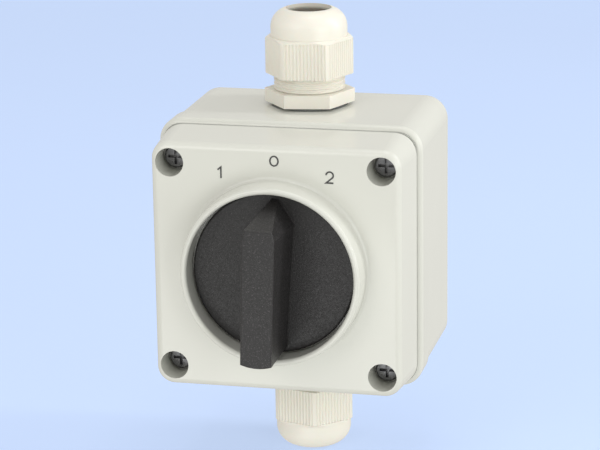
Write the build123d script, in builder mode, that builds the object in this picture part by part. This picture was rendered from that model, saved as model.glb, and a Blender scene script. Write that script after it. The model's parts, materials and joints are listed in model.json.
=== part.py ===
"""Rotary isolator switch in an insulated wall enclosure, with a pointer knob and two cable glands.

Millimetres. +Z is up, +X is to the right and +Y points into the wall, so the knob faces -Y.
The origin is the centre of the flat back face. "Height" below means distance in front of the wall.
"""

import os
from math import asin, atan2, cos, degrees, radians, sin

from build123d import *

# ---------------------------------------------------------------- enclosure
wall = 3.0
base_width = 89.0
base_corner = 8.0
flange_width = 90.0
flange_start = 40.0  # height where the rim flange begins
base_height = 51.0  # height of the base's rim
parting_height = 51.8  # height of the cover's back edge, on the gasket
plateau_height = 72.0  # height of the cover's flat front
cover_back_width = 87.0
cover_front_width = 83.4
cover_corner = 7.5
cover_edge_radius = 2.4
cover_lip_radius = 0.9  # on the cover's back edge, which leaves a groove along the rim
screw_pitch_x = 71.0
screw_pitch_z = 70.0
post_radius = 5.6
screw_recess_radius = 4.8
screw_recess_depth = 10.8
wall_hole_pitch_x = 52.0
wall_hole_pitch_z = 72.0
wall_hole_radius = 2.4
gasket_outer = 86.5
gasket_inner = 84.7
gasket_depth = 1.0
gasket_play = 0.1
gasket_corner = base_corner - (flange_width - gasket_outer) / 2
plate_screw_pitch_x = 54.0
plate_screw_pitch_z = 34.0

# ---------------------------------------------------------------- collar and knob
collar_inner = 28.0
collar_outer = 30.1
collar_height = 81.8
bush_inner = 10.9
bush_outer = 14.0
bush_end = 64.0
disc_radius = 27.3
disc_back = 72.5
disc_front = 75.0
grip_front = 97.8
insert_back = 96.2
grip_half_width = 5.4
grip_turn = 2.0  # the grip stands this far off the detent, within its play
hub_radius = 9.9
hub_end = 61.5
knob_web_back = 72.0
knob_web_front = 80.0

# ---------------------------------------------------------------- switch stack
shaft_size = 7.0
plate_back = 7.0
plate_thickness = 1.5
stack_width = 44.0
rear_plate_back = plate_back + plate_thickness
rear_plate_thickness = 3.0
deck_height = 11.0
deck_count = 3
deck_start = rear_plate_back + rear_plate_thickness
detent_start = deck_start + deck_count * deck_height
detent_height = 10.0
front_plate_back = detent_start + detent_height
tie_pitch = 37.0
switch_angle = 30.0  # from the off position to either side
contact_travel = 1.2  # plunger travel over one switching angle
cam_lead = contact_travel / radians(switch_angle)
cam_radius = 7.0
cam_gap = 0.3

# ---------------------------------------------------------------- cable glands
gland_height = 20.0  # height of the gland axis in front of the wall
gland_face = base_width / 2
thread_pitch = 1.41
gland_thread_radius = 12.2
shank_radius = 11.25
entry_radius = 11.4
hex_across_flats = 27.0
nut_start = 10.8
nut_hex_end = 24.0
dome_radius = 6.5
dome_outer = 13.1
nut_bore = gland_thread_radius + 0.06
opening_radius = 7.8
seal_bore_radius = 7.0

os.makedirs("parts", exist_ok=True)


def save(piece, name):
    """Label a finished piece and write its STEP file."""
    piece.label = name
    export_step(piece, "parts/" + name + ".step")


def facing(height):
    """Plane at a height in front of the wall: local x is +X, local y is +Z, normal towards the viewer."""
    return Plane(origin=(0, -height, 0), x_dir=(1, 0, 0), z_dir=(0, -1, 0))


def corner_holes(pitch_x, pitch_z):
    """The four corners of a rectangle."""
    return GridLocations(pitch_x, pitch_z, 2, 2)


# ================================================================ enclosure
def base_box():
    with BuildPart() as base:
        with BuildSketch(facing(0)):
            RectangleRounded(base_width, base_width, base_corner)
        extrude(amount=flange_start + 1)
        with BuildSketch(facing(flange_start)):
            RectangleRounded(flange_width, flange_width, base_corner)
        extrude(amount=base_height - flange_start)
        fillet(base.faces().sort_by(Axis.Y)[0].edges(), 2.0)
        fillet(base.faces().sort_by(Axis.Y)[-1].edges(), 1.0)
        with BuildSketch(facing(wall)):
            RectangleRounded(base_width - 2 * wall, base_width - 2 * wall, base_corner - wall)
        extrude(amount=base_height, mode=Mode.SUBTRACT)
        # corner posts that take the cover screws
        with BuildSketch(facing(wall - 0.5)):
            with corner_holes(screw_pitch_x, screw_pitch_z):
                Circle(post_radius)
        extrude(amount=base_height - wall - 1.0)
        # bosses under the switch's mounting plate
        with BuildSketch(facing(wall - 0.5)):
            with corner_holes(plate_screw_pitch_x, plate_screw_pitch_z):
                Circle(3.6)
        extrude(amount=plate_back - wall + 0.5)
        with BuildSketch(facing(plate_back)):
            with corner_holes(plate_screw_pitch_x, plate_screw_pitch_z):
                Circle(1.6)
        extrude(amount=-5, mode=Mode.SUBTRACT)
        # screw holes in the posts
        with BuildSketch(facing(base_height)):
            with corner_holes(screw_pitch_x, screw_pitch_z):
                Circle(1.75)
        extrude(amount=-20, mode=Mode.SUBTRACT)
        # holes for fixing the box to the wall
        with BuildSketch(facing(-1)):
            with corner_holes(wall_hole_pitch_x, wall_hole_pitch_z):
                Circle(wall_hole_radius)
        extrude(amount=wall + 2, mode=Mode.SUBTRACT)
        # groove for the gasket
        outer = gasket_outer + gasket_play
        inner = gasket_inner - gasket_play
        with BuildSketch(facing(base_height - gasket_depth)):
            RectangleRounded(outer, outer, gasket_corner + gasket_play)
            RectangleRounded(inner, inner, gasket_corner - 1.0, mode=Mode.SUBTRACT)
        extrude(amount=2, mode=Mode.SUBTRACT)
        # cable entries at the top and the bottom
        with BuildSketch(Plane.XY):
            with Locations((0, -gland_height)):
                Circle(entry_radius)
        extrude(amount=gland_face + 5, both=True, mode=Mode.SUBTRACT)
    save(base.part, "base_box")


def cover_gasket():
    with BuildPart() as gasket:
        with BuildSketch(facing(base_height - gasket_depth)):
            RectangleRounded(gasket_outer, gasket_outer, gasket_corner)
            RectangleRounded(gasket_inner, gasket_inner, gasket_corner - 0.9, mode=Mode.SUBTRACT)
        extrude(amount=parting_height - base_height + gasket_depth)
    save(gasket.part, "cover_gasket")


cover_depth = plateau_height - parting_height
cover_taper = degrees(atan2((cover_back_width - cover_front_width) / 2, cover_depth))


def cover_hollow():
    """The space inside the cover, left out round the four screw bosses."""
    width = cover_back_width - 2 * wall
    with BuildPart() as hollow:
        with BuildSketch(facing(parting_height)):
            RectangleRounded(width, width, cover_corner - wall)
        extrude(amount=cover_depth - wall, taper=cover_taper)
        with BuildSketch(facing(parting_height)):
            with corner_holes(screw_pitch_x, screw_pitch_z):
                Circle(post_radius + 1.0)
        extrude(amount=cover_depth, mode=Mode.SUBTRACT)
    return hollow.part


def cover():
    hollow = cover_hollow()
    crest = (collar_outer - collar_inner) / 2
    foot = collar_outer + 0.5
    with BuildPart() as lid:
        with BuildSketch(facing(parting_height)):
            RectangleRounded(cover_back_width, cover_back_width, cover_corner)
        extrude(amount=cover_depth, taper=cover_taper)
        fillet(lid.faces().sort_by(Axis.Y)[0].edges(), cover_edge_radius)
        fillet(lid.faces().sort_by(Axis.Y)[-1].edges(), cover_lip_radius)
        add(hollow, mode=Mode.SUBTRACT)
        # the collar: upright inside, slightly sloped outside, with a full round crest and a soft foot
        with BuildSketch(Plane.XY):
            with BuildLine():
                inner_foot = (collar_inner, -plateau_height + 1)
                inner_top = (collar_inner, -collar_height + crest)
                outer_top = (collar_outer, -collar_height + crest)
                outer_low = (foot, -plateau_height - 1.2)
                brim = (foot + 1.2, -plateau_height)
                Line(inner_foot, inner_top)
                ThreePointArc(inner_top, (collar_inner + crest, -collar_height), outer_top)
                Line(outer_top, outer_low)
                ThreePointArc(outer_low, (foot + 0.35, -plateau_height - 0.35), brim)
                Line(brim, (brim[0], -plateau_height + 1))
                Line((brim[0], -plateau_height + 1), inner_foot)
            make_face()
        revolve(axis=Axis.Y)
        # bush round the knob's hub
        with BuildSketch(facing(bush_end)):
            Circle(bush_outer)
        extrude(amount=plateau_height - bush_end - 1)
        with BuildSketch(facing(bush_end - 1)):
            Circle(bush_inner)
        extrude(amount=plateau_height - bush_end + 3, mode=Mode.SUBTRACT)
        # deep recesses for the cover screws
        with BuildSketch(facing(plateau_height - screw_recess_depth)):
            with corner_holes(screw_pitch_x, screw_pitch_z):
                Circle(screw_recess_radius)
        extrude(amount=screw_recess_depth + 2, mode=Mode.SUBTRACT)
        with BuildSketch(facing(parting_height - 1)):
            with corner_holes(screw_pitch_x, screw_pitch_z):
                Circle(2.2)
        extrude(amount=cover_depth, mode=Mode.SUBTRACT)
    save(lid.part, "cover")


def cover_screws():
    head_back = plateau_height - screw_recess_depth
    head_height = 2.6
    with BuildPart() as screws:
        with BuildSketch(facing(head_back)):
            with corner_holes(screw_pitch_x, screw_pitch_z):
                Circle(4.0)
        extrude(amount=head_height)
        fillet(screws.faces().group_by(Axis.Y)[0].edges(), 0.7)
        with BuildSketch(facing(head_back + head_height - 1.5)):
            with corner_holes(screw_pitch_x, screw_pitch_z):
                Rectangle(5.2, 1.0)
                Rectangle(1.0, 5.2)
        extrude(amount=4, mode=Mode.SUBTRACT)
        with BuildSketch(facing(head_back - 26)):
            with corner_holes(screw_pitch_x, screw_pitch_z):
                Circle(1.7)
        extrude(amount=26.5)
    save(screws.part, "cover_screws")


def position_marks():
    """Printed numerals 1, 0 and 2 at the three knob positions, on a circle round the knob."""
    circle = 37.0
    high = 3.7
    stroke = 0.5
    wide = 2.4
    with BuildPart() as marks:
        with BuildSketch(facing(plateau_height)):
            with Locations((0, circle)):
                Ellipse(1.6, high / 2)
                Ellipse(1.6 - stroke, high / 2 - stroke, mode=Mode.SUBTRACT)
            left_x = -circle * sin(radians(switch_angle - 1))
            low_z = circle * cos(radians(switch_angle - 1)) - high / 2
            with BuildLine():
                Line((left_x, low_z), (left_x, low_z + high))
                Line((left_x, low_z + high), (left_x - 1.1, low_z + high - 0.9))
            trace(line_width=stroke)
            right_x = circle * sin(radians(switch_angle))
            with BuildLine():
                shoulder = (right_x - wide / 2, low_z + high - 1.1)
                crown = (right_x, low_z + high)
                waist = (right_x + wide / 2 - 0.25, low_z + high - 1.9)
                ThreePointArc(shoulder, crown, waist)
                Line(waist, (right_x - wide / 2, low_z))
                Line((right_x - wide / 2, low_z), (right_x + wide / 2, low_z))
            trace(line_width=stroke)
        extrude(amount=0.12)
    save(marks.part, "position_marks")


# ================================================================ knob
def grip_outline(height, side, shoulder_x, shoulder_z, tip_x, tip_z, low_z, low_bulge):
    """Plan of the grip at one height: a bar with a rounded lower end and a pointed upper end."""
    with BuildSketch(facing(height)) as plan:
        with BuildLine():
            Line((side, low_z), (shoulder_x, shoulder_z))
            Line((shoulder_x, shoulder_z), (tip_x, tip_z))
            Line((tip_x, tip_z), (-tip_x, tip_z))
            Line((-tip_x, tip_z), (-shoulder_x, shoulder_z))
            Line((-shoulder_x, shoulder_z), (-side, low_z))
            ThreePointArc((-side, low_z), (0, low_z - low_bulge), (side, low_z))
        make_face()
    return plan.sketch


def grip_block():
    """The whole grip, from just inside the disc to its front face, with a narrow flare at its foot."""
    foot = grip_outline(disc_front - 1, 4.9, 6.6, 17.6, 0.9, 25.2, -25.0, 1.1)
    face = grip_outline(grip_front, 5.2, grip_half_width, 17.0, 4.7, 20.3, -24.9, 0.9)
    flare_foot = grip_outline(disc_front - 0.3, 5.5, 7.2, 17.8, 1.2, 25.5, -25.1, 1.2)
    flare_top = grip_outline(disc_front + 0.6, 4.8, 6.5, 17.5, 0.9, 24.9, -24.8, 1.0)
    with BuildPart() as block:
        loft([foot, face], ruled=True)
        fillet(block.faces().sort_by(Axis.Y)[0].edges(), 0.5)
        loft([flare_foot, flare_top], ruled=True)
    return block.part.rotate(Axis.Y, grip_turn)


def half_space(height, thickness):
    """A slab that starts at a height and goes forward."""
    with BuildPart() as slab:
        with BuildSketch(facing(height)):
            Rectangle(80, 80)
        extrude(amount=thickness)
    return slab.part


def knob():
    block = grip_block()
    with BuildPart() as handle:
        with BuildSketch(facing(disc_back)):
            Circle(disc_radius)
        extrude(amount=disc_front - disc_back)
        fillet(handle.faces().sort_by(Axis.Y)[0].edges(), 0.7)
        add(block)
        add(half_space(insert_back, 10), mode=Mode.SUBTRACT)
        with BuildSketch(facing(hub_end)):
            Circle(hub_radius)
        extrude(amount=disc_back - hub_end + 0.5)
        with BuildSketch(facing(hub_end - 1)):
            Rectangle(shaft_size + 0.1, shaft_size + 0.1)
        extrude(amount=knob_web_back - hub_end + 1, mode=Mode.SUBTRACT)
        with BuildSketch(facing(knob_web_back - 1)):
            Circle(2.2)
        extrude(amount=knob_web_front - knob_web_back + 2, mode=Mode.SUBTRACT)
        with BuildSketch(facing(knob_web_front)):
            Circle(4.1)
        extrude(amount=20, mode=Mode.SUBTRACT)
    save(handle.part, "knob")


def knob_insert():
    """Clip-in strip that forms the front of the grip and hides the knob screw."""
    block = grip_block()
    with BuildPart() as strip:
        add(block)
        add(half_space(insert_back + 0.05 - 60, 60), mode=Mode.SUBTRACT)
        with BuildSketch(facing(insert_back + 0.05 - 4)):
            Circle(3.6)
            Circle(2.6, mode=Mode.SUBTRACT)
        extrude(amount=4.2)
    save(strip.part, "knob_insert")


def knob_screw():
    with BuildPart() as screw:
        with BuildSketch(facing(knob_web_front + 0.05)):
            Circle(3.6)
        extrude(amount=2.5)
        fillet(screw.faces().sort_by(Axis.Y)[0].edges(), 0.6)
        with BuildSketch(facing(knob_web_front + 1.2)):
            Rectangle(7.4, 1.0)
        extrude(amount=4, mode=Mode.SUBTRACT)
        with BuildSketch(facing(knob_web_front - 18)):
            Circle(1.95)
        extrude(amount=18.2)
    save(screw.part, "knob_screw")


def shaft_seal():
    with BuildPart() as seal:
        with BuildSketch(facing(bush_end + 2)):
            Circle(bush_inner)
            Circle(hub_radius + 0.06, mode=Mode.SUBTRACT)
        extrude(amount=3)
    save(seal.part, "shaft_seal")


def shaft():
    with BuildPart() as bar:
        with BuildSketch(facing(rear_plate_back + 0.3)):
            Circle(3.4)
        extrude(amount=rear_plate_thickness)
        with BuildSketch(facing(deck_start + 0.3)):
            Rectangle(shaft_size, shaft_size)
        extrude(amount=knob_web_back - deck_start - 0.5)
        with BuildSketch(facing(knob_web_back + 1)):
            Circle(2.0)
        extrude(amount=-12, mode=Mode.SUBTRACT)
    save(bar.part, "shaft")


# ================================================================ switch stack
def mounting_plate():
    with BuildPart() as plate:
        with BuildSketch(facing(plate_back)):
            RectangleRounded(64, 44, 3)
            with corner_holes(plate_screw_pitch_x, plate_screw_pitch_z):
                Circle(1.8, mode=Mode.SUBTRACT)
            with corner_holes(tie_pitch, tie_pitch):
                Circle(1.25, mode=Mode.SUBTRACT)
            Circle(4.5, mode=Mode.SUBTRACT)
        extrude(amount=plate_thickness)
    save(plate.part, "mounting_plate")


def plate_screws():
    with BuildPart() as screws:
        with BuildSketch(facing(rear_plate_back)):
            with corner_holes(plate_screw_pitch_x, plate_screw_pitch_z):
                Circle(2.9)
        extrude(amount=1.8)
        fillet(screws.faces().group_by(Axis.Y)[0].edges(), 0.5)
        with BuildSketch(facing(rear_plate_back + 1.0)):
            with corner_holes(plate_screw_pitch_x, plate_screw_pitch_z):
                Rectangle(3.6, 0.8)
        extrude(amount=2, mode=Mode.SUBTRACT)
        with BuildSketch(facing(rear_plate_back - 5.5)):
            with corner_holes(plate_screw_pitch_x, plate_screw_pitch_z):
                Circle(1.55)
        extrude(amount=5.6)
    save(screws.part, "plate_screws")


def rear_plate():
    with BuildPart() as plate:
        with BuildSketch(facing(rear_plate_back)):
            RectangleRounded(stack_width, stack_width, 2)
            Circle(3.46, mode=Mode.SUBTRACT)
            with corner_holes(tie_pitch, tie_pitch):
                Circle(1.6, mode=Mode.SUBTRACT)
        extrude(amount=rear_plate_thickness)
    save(plate.part, "rear_plate")


def tie_screws():
    head = front_plate_back + plate_thickness
    with BuildPart() as screws:
        with BuildSketch(facing(head)):
            with corner_holes(tie_pitch, tie_pitch):
                Circle(2.7)
        extrude(amount=1.9)
        fillet(screws.faces().group_by(Axis.Y)[0].edges(), 0.5)
        with BuildSketch(facing(head + 1.1)):
            with corner_holes(tie_pitch, tie_pitch):
                Rectangle(3.4, 0.8)
                Rectangle(0.8, 3.4)
        extrude(amount=2, mode=Mode.SUBTRACT)
        with BuildSketch(facing(plate_back)):
            with corner_holes(tie_pitch, tie_pitch):
                Circle(1.2)
        extrude(amount=head - plate_back + 0.2)
    save(screws.part, "tie_screws")


def front_plate():
    with BuildPart() as plate:
        with BuildSketch(facing(front_plate_back)):
            RectangleRounded(stack_width + 4, stack_width + 4, 2)
            Circle(5.6, mode=Mode.SUBTRACT)
            with corner_holes(tie_pitch, tie_pitch):
                Circle(1.3, mode=Mode.SUBTRACT)
        extrude(amount=plate_thickness)
    save(plate.part, "front_plate")


def detent_housing():
    with BuildPart() as housing:
        with BuildSketch(facing(detent_start)):
            RectangleRounded(stack_width, stack_width, 2)
        extrude(amount=detent_height)
        with BuildSketch(facing(detent_start + 2)):
            Circle(16)
        extrude(amount=detent_height, mode=Mode.SUBTRACT)
        with BuildSketch(facing(detent_start - 1)):
            Circle(5.6)
            with corner_holes(tie_pitch, tie_pitch):
                Circle(1.6)
        extrude(amount=detent_height + 2, mode=Mode.SUBTRACT)
    save(housing.part, "detent_housing")


notch_count = 12
star_root = 9.2
star_tip = 11.0


def star_wheel():
    """Detent wheel: one rounded notch for each switching angle, with notches on the X axis at rest."""
    with BuildPart() as star:
        with BuildSketch(facing(detent_start + 2.5)):
            Circle(star_tip)
            with PolarLocations(star_tip + 0.4, notch_count):
                Circle(2.2, mode=Mode.SUBTRACT)
            Rectangle(shaft_size + 0.1, shaft_size + 0.1, mode=Mode.SUBTRACT)
        extrude(amount=6)
    save(star.part, "star_wheel")


def detent_springs():
    """Two formed leaf springs; the bump of each rests in a notch of the star wheel on the X axis."""
    thick = 0.5
    bump = 1.3
    bump_half = 1.5
    rest = star_root + 0.15
    with BuildPart() as springs:
        with BuildSketch(facing(detent_start + 3.5)):
            for side in (-1, 1):
                with BuildLine():
                    seat = (side * 13.0, 8.4)
                    tip_x = side * (rest + bump + thick / 2)
                    Line((seat[0], -seat[1]), (tip_x, -bump_half))
                    ThreePointArc((tip_x, -bump_half), (side * (rest + thick / 2), 0), (tip_x, bump_half))
                    Line((tip_x, bump_half), seat)
                trace(line_width=thick)
        extrude(amount=4)
    save(springs.part, "detent_springs")


def deck_back(number):
    """Height of the back of a contact deck, counted from 1 at the rear."""
    return deck_start + (number - 1) * deck_height


plunger_side = 5.0
plunger_nose = 1.5
stem_side = 2.4
bridge_x = 14.6
bridge_thickness = 1.0
bridge_length = 20.0
button_radius = 1.5
button_height = 0.8
contact_pitch = 15.0  # between the two fixed contacts of a bridge
contact_gap = contact_travel + 0.06
stem_end = 18.0
spring_wire = 0.25
spring_radius = 2.3
spring_length = 3.8
plunger_shoulder = bridge_x


def deck(number):
    """Moulded deck: cam well in the middle, plunger guides and contact chambers to both sides."""
    back = deck_back(number)
    with BuildPart() as body:
        with BuildSketch(facing(back)):
            RectangleRounded(stack_width, stack_width, 2)
        extrude(amount=deck_height)
        with BuildSketch(facing(back - 1)):
            with corner_holes(tie_pitch, tie_pitch):
                Circle(1.6)
            Circle(5.6)
        extrude(amount=deck_height + 2, mode=Mode.SUBTRACT)
        with BuildSketch(facing(back + 2)):
            Circle(cam_radius + 2.2)
            with Locations((-11, 0), (11, 0)):
                Rectangle(12, plunger_side + 0.5)
            for side in (-1, 1):
                with Locations((side * 15.9, 0)):
                    Rectangle(9.0, 25.6)
                with Locations((side * 20, 13.65), (side * 20, -13.65)):
                    Rectangle(8, 4.3)
        extrude(amount=deck_height, mode=Mode.SUBTRACT)
    save(body.part, "deck_%d" % number)


def cam(number):
    """Cam disc: a spiral flank faces each plunger, with dwell arcs above and below."""
    reach = radians(switch_angle + 6)
    low = cam_radius - cam_lead * reach
    high = cam_radius + cam_lead * reach
    flank_steps = (-1, -0.5, 0, 0.5, 1)
    right = []
    left = []
    for step in flank_steps:
        turn = step * reach
        radius = cam_radius - cam_lead * turn
        right.append((radius * cos(turn), radius * sin(turn)))
        left.append((-radius * cos(turn), radius * sin(turn)))
    with BuildPart() as disc:
        with BuildSketch(facing(deck_back(number) + 2.6)):
            with BuildLine():
                Spline(*right)
                ThreePointArc(right[-1], (0, low), left[-1])
                Spline(*reversed(left))
                ThreePointArc(left[0], (0, -high), right[0])
            make_face()
            Rectangle(shaft_size + 0.1, shaft_size + 0.1, mode=Mode.SUBTRACT)
        extrude(amount=6)
    save(disc.part, "cam_%d" % number)


def plunger(number, side, name):
    """Plunger with a round nose against the cam and a stem through the bridge contact."""
    nose_x = cam_radius + cam_gap + plunger_nose
    middle = deck_back(number) + 5.6
    with BuildPart() as slider:
        with BuildSketch(facing(middle - plunger_side / 2)):
            with Locations((side * nose_x, 0)):
                Circle(plunger_nose)
            with Locations((side * (nose_x + plunger_shoulder) / 2, 0)):
                Rectangle(plunger_shoulder - nose_x, 2 * plunger_nose)
            with Locations((side * (plunger_shoulder + nose_x + 1) / 2, 0)):
                Rectangle(plunger_shoulder - nose_x - 1, plunger_side)
        extrude(amount=plunger_side)
        with BuildSketch(facing(middle - stem_side / 2)):
            with Locations((side * (plunger_shoulder - 1 + stem_end) / 2, 0)):
                Rectangle(stem_end - plunger_shoulder + 1, stem_side)
        extrude(amount=stem_side)
    save(slider.part, "%s_plunger_%d" % (name, number))


def bridge(number, side, name):
    """Bridge contact: a copper strip on the plunger's stem, with a silver button at each end."""
    middle = deck_back(number) + 5.6
    strip_x = side * (bridge_x + bridge_thickness / 2)
    button_x = side * (bridge_x - button_height / 2 + 0.1)
    with BuildPart() as strip:
        with BuildSketch(facing(middle - 2)):
            with Locations((strip_x, 0)):
                Rectangle(bridge_thickness, bridge_length)
            with Locations((button_x, contact_pitch / 2), (button_x, -contact_pitch / 2)):
                Rectangle(button_height + 0.2, 2 * button_radius)
        extrude(amount=4)
        with BuildSketch(facing(middle - stem_side / 2 - 0.05)):
            with Locations((strip_x, 0)):
                Rectangle(bridge_thickness + 1, stem_side + 0.1)
        extrude(amount=stem_side + 0.1, mode=Mode.SUBTRACT)
    save(strip.part, "%s_bridge_%d" % (name, number))


def contact_springs(number):
    """Two light compression springs, one behind each bridge contact."""
    start = bridge_x + bridge_thickness + 2 * spring_wire
    middle = deck_back(number) + 5.6
    with BuildPart() as coils:
        for side in (-1, 1):
            seat = (side * start, -middle, 0)
            with BuildLine():
                turns = Helix(1.15, spring_length, spring_radius, center=seat, direction=(side, 0, 0))
            with BuildSketch(Plane(origin=turns @ 0, z_dir=turns % 0)):
                Circle(spring_wire)
            sweep(path=turns)
    save(coils.part, "contact_springs_%d" % number)


def terminals(number):
    """Four fixed contacts, each a bent strip from its contact pad to its screw terminal."""
    back = deck_back(number) + 3.4
    pad_x = bridge_x - button_height - contact_gap
    with BuildPart() as strips:
        for side in (-1, 1):
            for up in (-1, 1):
                with BuildSketch(facing(back)):
                    with Locations((side * (pad_x - 0.5), up * contact_pitch / 2)):
                        Rectangle(1.0, 4.4)
                extrude(amount=4.4)
                with BuildSketch(facing(back)):
                    with Locations((side * (pad_x + 4.9), up * 12.2)):
                        Rectangle(11.8, 1.0)
                    with Locations((side * (pad_x - 0.5), up * 10.9)):
                        Rectangle(1.0, 3.6)
                extrude(amount=4.4)
    save(strips.part, "terminals_%d" % number)


def terminal_screws(number):
    """Four terminal screws, one in each fixed contact's outer end."""
    middle = deck_back(number) + 5.6
    with BuildPart() as screws:
        for side in (-1, 1):
            for up in (-1, 1):
                seat = Plane(origin=(side * 20.2, -middle, up * 12.8), x_dir=(1, 0, 0), z_dir=(0, 0, up))
                with BuildSketch(seat):
                    Circle(1.9)
                extrude(amount=1.5)
                with BuildSketch(seat.offset(0.9)):
                    Rectangle(4, 0.6)
                extrude(amount=1, mode=Mode.SUBTRACT)
    save(screws.part, "terminal_screws_%d" % number)


# ================================================================ cable glands
def gland_plane(side, along):
    """Plane across a gland's axis; along is the distance out of the box's outer face."""
    return Plane(origin=(0, -gland_height, side * (gland_face + along)), x_dir=(1, 0, 0), z_dir=(0, 0, side))


def gland_section(side):
    """Half-plane through a gland's axis: local x is the radius, local y is outwards."""
    return Plane(origin=(0, -gland_height, side * gland_face), x_dir=(1, 0, 0), z_dir=(0, -side, 0))


def gland_axis(side):
    return Axis((0, -gland_height, side * gland_face), (0, 0, side))


def threaded_tube(side, bore, outer, start, end):
    """Tube with thread ridges, drawn as rings, from start to end along the gland's axis."""
    depth = 0.75
    ridge_count = int((end - start) / thread_pitch)
    with BuildPart() as tube:
        with BuildSketch(gland_section(side)):
            with BuildLine():
                outline = [(bore, start), (outer - depth, start)]
                for ridge in range(ridge_count):
                    foot = start + ridge * thread_pitch
                    outline.append((outer - depth, foot + 0.1 * thread_pitch))
                    outline.append((outer, foot + 0.42 * thread_pitch))
                    outline.append((outer, foot + 0.58 * thread_pitch))
                    outline.append((outer - depth, foot + 0.9 * thread_pitch))
                outline += [(outer - depth, end), (bore, end)]
                Polyline(*outline, close=True)
            make_face()
        revolve(axis=gland_axis(side))
    return tube.part


def gland_body(side, name, turn):
    upper = threaded_tube(side, 9.6, gland_thread_radius, 5.4, 19.0)
    lower = threaded_tube(side, 8.4, shank_radius, -9.5, 1.1)
    with BuildPart() as body:
        with BuildSketch(gland_plane(side, 1.0)):
            RegularPolygon(hex_across_flats / 2 - 0.1, 6, major_radius=False, rotation=turn)
            Circle(8.4, mode=Mode.SUBTRACT)
        extrude(amount=4.5)
        with BuildSketch(gland_section(side)):
            with BuildLine():
                Polyline((15.0, 6.0), (17.0, 6.0), (17.0, 4.3), close=True)
            make_face()
        revolve(axis=gland_axis(side), mode=Mode.SUBTRACT)
        add(upper)
        add(lower)
    save(body.part, name + "_gland_body")


def flat_seal(side, name):
    with BuildPart() as ring:
        with BuildSketch(gland_plane(side, 0)):
            Circle(13.0)
            Circle(shank_radius + 0.05, mode=Mode.SUBTRACT)
        extrude(amount=1.0)
    save(ring.part, name + "_flat_seal")


def locknut(side, name):
    with BuildPart() as nut:
        with BuildSketch(gland_plane(side, -wall - 4.5)):
            RegularPolygon(14.0, 6, major_radius=False)
            Circle(shank_radius + 0.02, mode=Mode.SUBTRACT)
        extrude(amount=4.5)
    save(nut.part, name + "_locknut")


rib_pitch = 1.2
rib_groove = 0.62  # side of the square groove cut corner-first into a flat


def rib_grooves(side, turn):
    """Fine upright grooves that leave gripping ribs on all six flats of a cap nut."""
    count = 12
    with BuildPart() as cutters:
        with BuildSketch(gland_plane(side, nut_start - 1)):
            for flat in range(6):
                middle = radians(turn + 30 + 60 * flat)
                for rib in range(count):
                    across = (rib - (count - 1) / 2) * rib_pitch
                    flat_x = hex_across_flats / 2 * cos(middle) - across * sin(middle)
                    flat_y = hex_across_flats / 2 * sin(middle) + across * cos(middle)
                    with Locations(Location((flat_x, flat_y), degrees(middle) + 45)):
                        Rectangle(rib_groove, rib_groove)
        extrude(amount=nut_hex_end - nut_start)
    return cutters.part


def cap_nut(side, name, turn):
    """Cap nut: hexagon with rounded corners, ribbed flats and a domed end with the cable opening."""
    half = hex_across_flats / 2
    dome_foot = nut_hex_end + 3.0
    dome_middle = dome_outer - dome_radius
    lip = opening_radius
    lip_height = dome_foot + (dome_radius**2 - (lip - dome_middle) ** 2) ** 0.5
    bend = asin((10.8 - dome_middle) / dome_radius)
    bend_point = (dome_middle + dome_radius * sin(bend), dome_foot + dome_radius * cos(bend))
    grooves = rib_grooves(side, turn)
    with BuildPart() as nut:
        with BuildSketch(gland_plane(side, nut_start)):
            RegularPolygon(half, 6, major_radius=False, rotation=turn)
            Circle(half * 1.115, mode=Mode.INTERSECT)
        extrude(amount=nut_hex_end - nut_start)
        # bevel the hexagon's outer corners, then let the ribs run out into it
        with BuildSketch(gland_section(side)):
            with BuildLine():
                top = nut_hex_end + 0.1
                Polyline((half, top), (half + 2.5, top), (half + 2.5, top - 1.9), close=True)
            make_face()
        revolve(axis=gland_axis(side), mode=Mode.SUBTRACT)
        add(grooves, mode=Mode.SUBTRACT)
        with BuildSketch(gland_section(side)):
            with BuildLine():
                inside = (nut_bore, nut_hex_end - 2)
                Line(inside, (dome_outer, nut_hex_end - 2))
                Line((dome_outer, nut_hex_end - 2), (dome_outer, dome_foot))
                ThreePointArc((dome_outer, dome_foot), bend_point, (lip, lip_height))
                Line((lip, lip_height), (lip, lip_height - 1.2))
                Line((lip, lip_height - 1.2), inside)
            make_face()
        revolve(axis=gland_axis(side))
        with BuildSketch(gland_section(side)):
            with BuildLine():
                cone_top = (9.6, 30.2)
                Polyline((0, 10), (nut_bore, 10), (nut_bore, 19.6), cone_top, (lip, 31.8), (0, 31.8), close=True)
            make_face()
        revolve(axis=gland_axis(side), mode=Mode.SUBTRACT)
    save(nut.part, name + "_cap_nut")


def clamp_cage(side, name):
    """Slotted plastic cage whose fingers the dome squeezes onto the rubber seal."""
    with BuildPart() as cage:
        with BuildSketch(gland_section(side)):
            with BuildLine():
                Polyline((8.6, 14), (9.4, 14), (9.4, 19.4), (10.6, 20.2), (9.2, 28.6), (8.6, 28.6), close=True)
            make_face()
        revolve(axis=gland_axis(side))
        with BuildSketch(gland_plane(side, 20.5)):
            with PolarLocations(9.6, 8):
                Rectangle(4, 1.1)
        extrude(amount=10, mode=Mode.SUBTRACT)
    save(cage.part, name + "_clamp_cage")


def rubber_seal(side, name):
    with BuildPart() as sleeve:
        with BuildSketch(gland_section(side)):
            with BuildLine():
                bore = seal_bore_radius
                Polyline((bore, 13), (8.5, 13), (8.5, 29.0), (7.5, 29.0), (bore, 28.3), close=True)
            make_face()
        revolve(axis=gland_axis(side))
    save(sleeve.part, name + "_rubber_seal")


def gland(side, name, body_turn, nut_turn):
    gland_body(side, name, body_turn)
    flat_seal(side, name)
    locknut(side, name)
    cap_nut(side, name, nut_turn)
    clamp_cage(side, name)
    rubber_seal(side, name)


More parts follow.
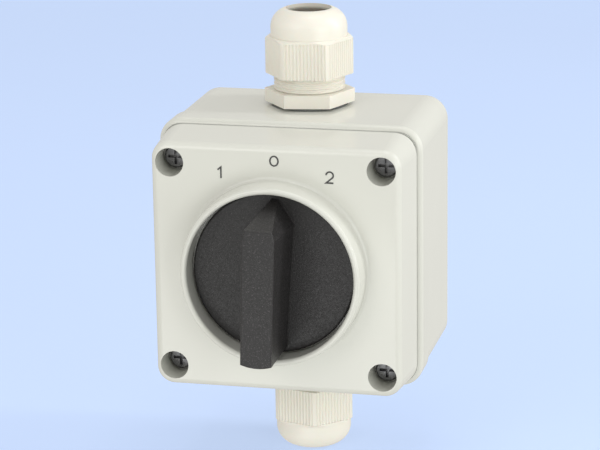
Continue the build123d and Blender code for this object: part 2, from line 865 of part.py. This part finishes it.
base_box()
cover_gasket()
cover()
cover_screws()
position_marks()
knob()
knob_insert()
knob_screw()
shaft_seal()
shaft()
mounting_plate()
plate_screws()
rear_plate()
tie_screws()
front_plate()
detent_housing()
star_wheel()
detent_springs()
for number in range(1, deck_count + 1):
    deck(number)
    cam(number)
    for side, name in ((-1, "left"), (1, "right")):
        plunger(number, side, name)
        bridge(number, side, name)
    contact_springs(number)
    terminals(number)
    terminal_screws(number)
gland(1, "top", 9, 7)
gland(-1, "bottom", 18, 16)
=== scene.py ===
import json
import math

import bmesh
import bpy
from mathutils import Matrix, Vector


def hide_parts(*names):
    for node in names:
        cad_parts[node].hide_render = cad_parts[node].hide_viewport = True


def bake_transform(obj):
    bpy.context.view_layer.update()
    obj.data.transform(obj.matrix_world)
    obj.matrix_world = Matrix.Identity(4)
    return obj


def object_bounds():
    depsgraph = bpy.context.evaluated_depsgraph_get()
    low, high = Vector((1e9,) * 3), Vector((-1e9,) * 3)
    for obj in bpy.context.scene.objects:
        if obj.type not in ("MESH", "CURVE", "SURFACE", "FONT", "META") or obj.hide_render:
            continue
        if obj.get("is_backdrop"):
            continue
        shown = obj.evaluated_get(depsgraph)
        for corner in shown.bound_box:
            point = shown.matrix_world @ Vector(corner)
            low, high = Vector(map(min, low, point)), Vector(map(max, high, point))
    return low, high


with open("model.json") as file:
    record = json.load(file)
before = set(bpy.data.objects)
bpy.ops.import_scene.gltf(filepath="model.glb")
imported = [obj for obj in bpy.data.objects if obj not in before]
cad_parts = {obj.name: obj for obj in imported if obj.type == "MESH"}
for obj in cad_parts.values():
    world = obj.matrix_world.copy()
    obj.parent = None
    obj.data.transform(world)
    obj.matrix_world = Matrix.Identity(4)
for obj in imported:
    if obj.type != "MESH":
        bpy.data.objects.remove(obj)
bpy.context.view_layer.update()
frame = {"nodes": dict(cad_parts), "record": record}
nodes = frame["nodes"]


# ---------------------------------------------------------------- materials
class Shader:
    """A material built on one Principled shader, with short calls for its nodes."""

    def __init__(self, name, color, roughness, **sockets):
        self.material = bpy.data.materials.new(name)
        self.material.use_nodes = True
        self.tree = self.material.node_tree
        self.main = self.tree.nodes["Principled BSDF"]
        self.main.inputs["Base Color"].default_value = (*color, 1)
        self.main.inputs["Roughness"].default_value = roughness
        for socket, value in sockets.items():
            self.main.inputs[socket.replace("_", " ")].default_value = value
        self.coords = self.tree.nodes.new("ShaderNodeTexCoord").outputs["Object"]

    def node(self, kind, **settings):
        """A new shader node; each setting goes to the input of that name, or else to the node itself."""
        made = self.tree.nodes.new("ShaderNode" + kind)
        for key, value in settings.items():
            if key in made.inputs:
                made.inputs[key].default_value = value
            else:
                setattr(made, key, value)
        return made

    def link(self, source, target):
        self.tree.links.new(source, target)

    def noise(self, scale, detail=2.0, stretch=(1, 1, 1)):
        """A noise factor in the object's own space, with scale in cells per metre."""
        mapping = self.node("Mapping")
        mapping.inputs["Scale"].default_value = stretch
        self.link(self.coords, mapping.inputs["Vector"])
        noise = self.node("TexNoise", Scale=scale, Detail=detail)
        self.link(mapping.outputs["Vector"], noise.inputs["Vector"])
        return noise.outputs["Fac"]

    def spread(self, fac, low, high, from_low=0.3, from_high=0.7):
        """A factor spread from one range to another."""
        ramp = self.node("MapRange")
        limits = {"From Min": from_low, "From Max": from_high, "To Min": low, "To Max": high}
        for socket, value in limits.items():
            ramp.inputs[socket].default_value = value
        self.link(fac, ramp.inputs["Value"])
        return ramp.outputs["Result"]

    def mottle(self, fac, first, second, from_low=0.3, from_high=0.7):
        """Base colour between two tones by a factor."""
        mix = self.node("Mix", data_type="RGBA")
        mix.inputs["A"].default_value = (*first, 1)
        mix.inputs["B"].default_value = (*second, 1)
        self.link(self.spread(fac, 0, 1, from_low, from_high), mix.inputs["Factor"])
        self.link(mix.outputs["Result"], self.main.inputs["Base Color"])

    def rough(self, fac, low, high):
        """Roughness between two values by a factor."""
        self.link(self.spread(fac, low, high), self.main.inputs["Roughness"])

    def bump(self, fac, height, strength=1.0):
        """Bumps of a height in metres; later calls lie on top of earlier ones."""
        bump = self.node("Bump", Distance=height, Strength=strength)
        self.link(fac, bump.inputs["Height"])
        previous = self.main.inputs["Normal"]
        if previous.is_linked:
            self.link(previous.links[0].from_socket, bump.inputs["Normal"])
        self.link(bump.outputs["Normal"], previous)


def enclosure_plastic():
    shader = Shader("enclosure_plastic", (0.66, 0.655, 0.60), 0.12, IOR=1.52)
    shader.mottle(shader.noise(18, 2), (0.65, 0.655, 0.605), (0.675, 0.68, 0.628))
    shader.rough(shader.noise(45, 2), 0.1, 0.15)
    shader.bump(shader.noise(60, 1), 0.00002, 0.3)
    shader.bump(shader.noise(1800, 2), 0.000002, 0.3)
    return shader.material


def gland_plastic():
    shader = Shader("gland_plastic", (0.80, 0.775, 0.70), 0.36, IOR=1.5,
                    Subsurface_Weight=0.08, Subsurface_Scale=0.002)
    shader.mottle(shader.noise(40, 3), (0.785, 0.76, 0.68), (0.815, 0.79, 0.715))
    shader.rough(shader.noise(200, 3), 0.3, 0.4)
    shader.bump(shader.noise(900, 3), 0.00001, 0.4)
    return shader.material


def knob_plastic():
    shader = Shader("knob_plastic", (0.02, 0.02, 0.019), 0.5, IOR=1.5)
    grain = shader.noise(1500, 3)
    # lighter specks in the base colour are painted glints of the sparkling grain, spread evenly over the
    # knob
    shader.mottle(shader.noise(2600, 1), (0.0135, 0.0128, 0.013), (0.075, 0.066, 0.072), 0.58, 0.8)
    shader.rough(shader.noise(1700, 2), 0.34, 0.56)
    shader.bump(grain, 0.00007, 0.8)
    return shader.material


def moulding(name, tone, roughness=0.5):
    shader = Shader(name, tone, roughness)
    light = tuple(min(1, 1.12 * value + 0.01) for value in tone)
    shader.mottle(shader.noise(60, 3), tone, light)
    shader.rough(shader.noise(160, 3), roughness - 0.06, roughness + 0.08)
    shader.bump(shader.noise(1200, 2), 0.00001, 0.5)
    return shader.material


def metal(name, tone, roughness, stretch):
    shader = Shader(name, tone, roughness, Metallic=1.0)
    dark = tuple(0.8 * value for value in tone)
    shader.mottle(shader.noise(90, 4), dark, tone)
    streaks = shader.noise(700, 3, stretch)
    shader.rough(streaks, roughness - 0.08, roughness + 0.12)
    shader.bump(streaks, 0.000008, 0.5)
    return shader.material


def rubber(name, tone):
    shader = Shader(name, tone, 0.7)
    shader.mottle(shader.noise(80, 3), tone, tuple(1.3 * value for value in tone))
    shader.rough(shader.noise(300, 2), 0.62, 0.82)
    shader.bump(shader.noise(1000, 3), 0.00003, 0.5)
    return shader.material


SLOT_MATERIALS = {
    "enclosure": enclosure_plastic(),
    "gland_plastic": gland_plastic(),
    "knob_plastic": knob_plastic(),
    "switch_plastic": moulding("switch_plastic", (0.035, 0.036, 0.04)),
    "rotor_plastic": moulding("rotor_plastic", (0.70, 0.69, 0.64), 0.42),
    "zinc_steel": metal("zinc_steel", (0.63, 0.63, 0.62), 0.32, (1, 6, 1)),
    "spring_steel": metal("spring_steel", (0.52, 0.52, 0.53), 0.24, (1, 1, 8)),
    "copper": metal("copper", (0.82, 0.47, 0.31), 0.3, (6, 1, 1)),
    "grey_rubber": rubber("grey_rubber", (0.10, 0.105, 0.10)),
    "black_rubber": rubber("black_rubber", (0.02, 0.02, 0.02)),
    "dark_print": moulding("dark_print", (0.045, 0.045, 0.045), 0.55),
}
# two nodes share a record slot with other pieces but look different from them
# the cover screws' steel is dark grey, darkened further as painted shade of their deep counterbores
SCREW_STEEL_WITH_PAINTED_SHADE = metal("screw_steel_with_painted_shade", (0.17, 0.17, 0.175), 0.3, (1, 6, 1))
LIGHT_RUBBER = rubber("light_rubber", (0.36, 0.365, 0.34))
for row in frame["record"]["subparts"]:
    mesh = nodes[row["node"]].data
    mesh.materials.clear()
    mesh.materials.append(SLOT_MATERIALS[row["material_slot"]])
nodes["cover_screws"].data.materials[0] = SCREW_STEEL_WITH_PAINTED_SHADE
nodes["cover_gasket"].data.materials[0] = LIGHT_RUBBER


# ---------------------------------------------------------------- contact springs
DECK_NUMBERS = (1, 2, 3)


def contact_spring(name, side, number):
    """One spring of a deck's pair, on the side where x has the sign of side.

    Its outer end stays seated on the deck.
    """
    source = nodes[f"contact_springs_{number}"]
    coil = bmesh.new()
    coil.from_mesh(source.data)
    coil.transform(source.matrix_world)
    other_spring = [vertex for vertex in coil.verts if vertex.co.x * side < 0]
    bmesh.ops.delete(coil, geom=other_spring, context="VERTS")
    mesh = bpy.data.meshes.new(f"{name}_contact_spring_{number}")
    coil.to_mesh(mesh)
    coil.free()
    mesh.shade_smooth()
    mesh.materials.clear()
    mesh.materials.append(SLOT_MATERIALS["spring_steel"])
    piece = bpy.data.objects.new(mesh.name, mesh)
    bpy.context.scene.collection.objects.link(piece)
    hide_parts(source.name)
    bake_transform(piece)


for number in DECK_NUMBERS:
    contact_spring("left", -1, number)
    contact_spring("right", 1, number)


# ---------------------------------------------------------------- camera
AIM = Vector((0, -0.072, 0))
AZIMUTH, ELEVATION, ROLL = math.radians(13.5), math.radians(15.6), math.radians(-0.81)
DISTANCE, RIGHT_SHIFT, UP_SHIFT = 0.862, 0.00795, 0.0149
FOCAL_LENGTH, SENSOR = 157.38, 36
CLIP_NEAR, CLIP_FAR = 0.01, 20


def place_camera():
    """The front camera, looking down on the switch from its right, with a slight roll."""
    flat = math.cos(ELEVATION)
    back = Vector((math.sin(AZIMUTH) * flat, -math.cos(AZIMUTH) * flat, math.sin(ELEVATION)))
    level = Vector((math.cos(AZIMUTH), math.sin(AZIMUTH), 0))
    upright = back.cross(level)
    right = math.cos(ROLL) * level + math.sin(ROLL) * upright
    up = -math.sin(ROLL) * level + math.cos(ROLL) * upright
    data = bpy.data.cameras.new("camera")
    data.sensor_width = SENSOR
    data.lens = FOCAL_LENGTH
    camera = bpy.data.objects.new("camera", data)
    turn = Matrix((right, up, back)).transposed().to_4x4()
    place = AIM + DISTANCE * back + RIGHT_SHIFT * right + UP_SHIFT * up
    camera.matrix_world = Matrix.Translation(place) @ turn
    bpy.context.scene.collection.objects.link(camera)
    bpy.context.scene.camera = camera
    data.clip_start, data.clip_end = CLIP_NEAR, CLIP_FAR


place_camera()


# ---------------------------------------------------------------- studio
FLOOR_REACH = 3.0
BEND_START = 0.7
BEND_RADIUS = 0.6
BEND_STEPS = 12
LIGHT_AIM = (0, -0.05, 0)


def soft_light(name, place, size, energy, tint=(1, 1, 1)):
    """A rectangular lamp that faces the middle of the switch."""
    data = bpy.data.lights.new(name, "AREA")
    data.shape = "RECTANGLE"
    data.size, data.size_y = size
    data.energy = energy
    data.color = tint
    lamp = bpy.data.objects.new(name, data)
    lamp.location = place
    lamp.rotation_euler = (Vector(LIGHT_AIM) - Vector(place)).to_track_quat("-Z", "Y").to_euler()
    bpy.context.scene.collection.objects.link(lamp)


def floor():
    """A pale floor under the object that turns up into a backdrop behind it."""
    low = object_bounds()[0].z
    mesh = bpy.data.meshes.new("floor")
    profile = [(-FLOOR_REACH, low), (BEND_START, low)]
    for step in range(1, BEND_STEPS + 1):
        turn = math.radians(90 * step / BEND_STEPS)
        y = BEND_START + BEND_RADIUS * math.sin(turn)
        profile.append((y, low + BEND_RADIUS * (1 - math.cos(turn))))
    profile.append((BEND_START + BEND_RADIUS, low + FLOOR_REACH))
    build = bmesh.new()
    rows = [[build.verts.new((x, y, z)) for x in (-FLOOR_REACH, FLOOR_REACH)] for y, z in profile]
    for first, second in zip(rows, rows[1:]):
        build.faces.new((first[0], first[1], second[1], second[0]))
    build.to_mesh(mesh)
    build.free()
    for polygon in mesh.polygons:
        polygon.use_smooth = True
    plate = bpy.data.objects.new("floor", mesh)
    bpy.context.scene.collection.objects.link(plate)
    shader = Shader("floor_paint", (0.285, 0.35, 0.485), 0.8,
                    Emission_Color=(0.57, 0.71, 1.0, 1), Emission_Strength=0.555)
    shader.mottle(shader.noise(3, 2), (0.28, 0.345, 0.48), (0.29, 0.355, 0.49))
    plate.data.materials.append(shader.material)
    # the floor neither tints nor shades the object, so its plastics keep their own colours
    plate.visible_diffuse = False
    plate.visible_glossy = False
    plate.visible_shadow = False
    plate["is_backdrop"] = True


floor()
soft_light("key", (-0.55, -1.15, 0.6), (0.7, 0.7), 3.2, (1.0, 0.98, 0.95))
soft_light("fill", (1.0, -0.9, 0.15), (0.8, 0.8), 5.0, (0.97, 1.0, 0.98))
soft_light("low", (-0.1, -1.1, -0.55), (0.9, 0.5), 2.6, (0.98, 1.0, 1.0))
soft_light("strip", (0.75, 0.15, 0.35), (0.15, 0.9), 3.0)
soft_light("top", (0.05, -0.05, 1.1), (0.8, 0.5), 2.3)
world = bpy.data.worlds.new("studio")
world.use_nodes = True
background = world.node_tree.nodes["Background"]
background.inputs["Color"].default_value = (1.0, 0.985, 0.95, 1)
background.inputs["Strength"].default_value = 0.66
bpy.context.scene.world = world
bpy.context.scene.view_settings.view_transform = "Standard"
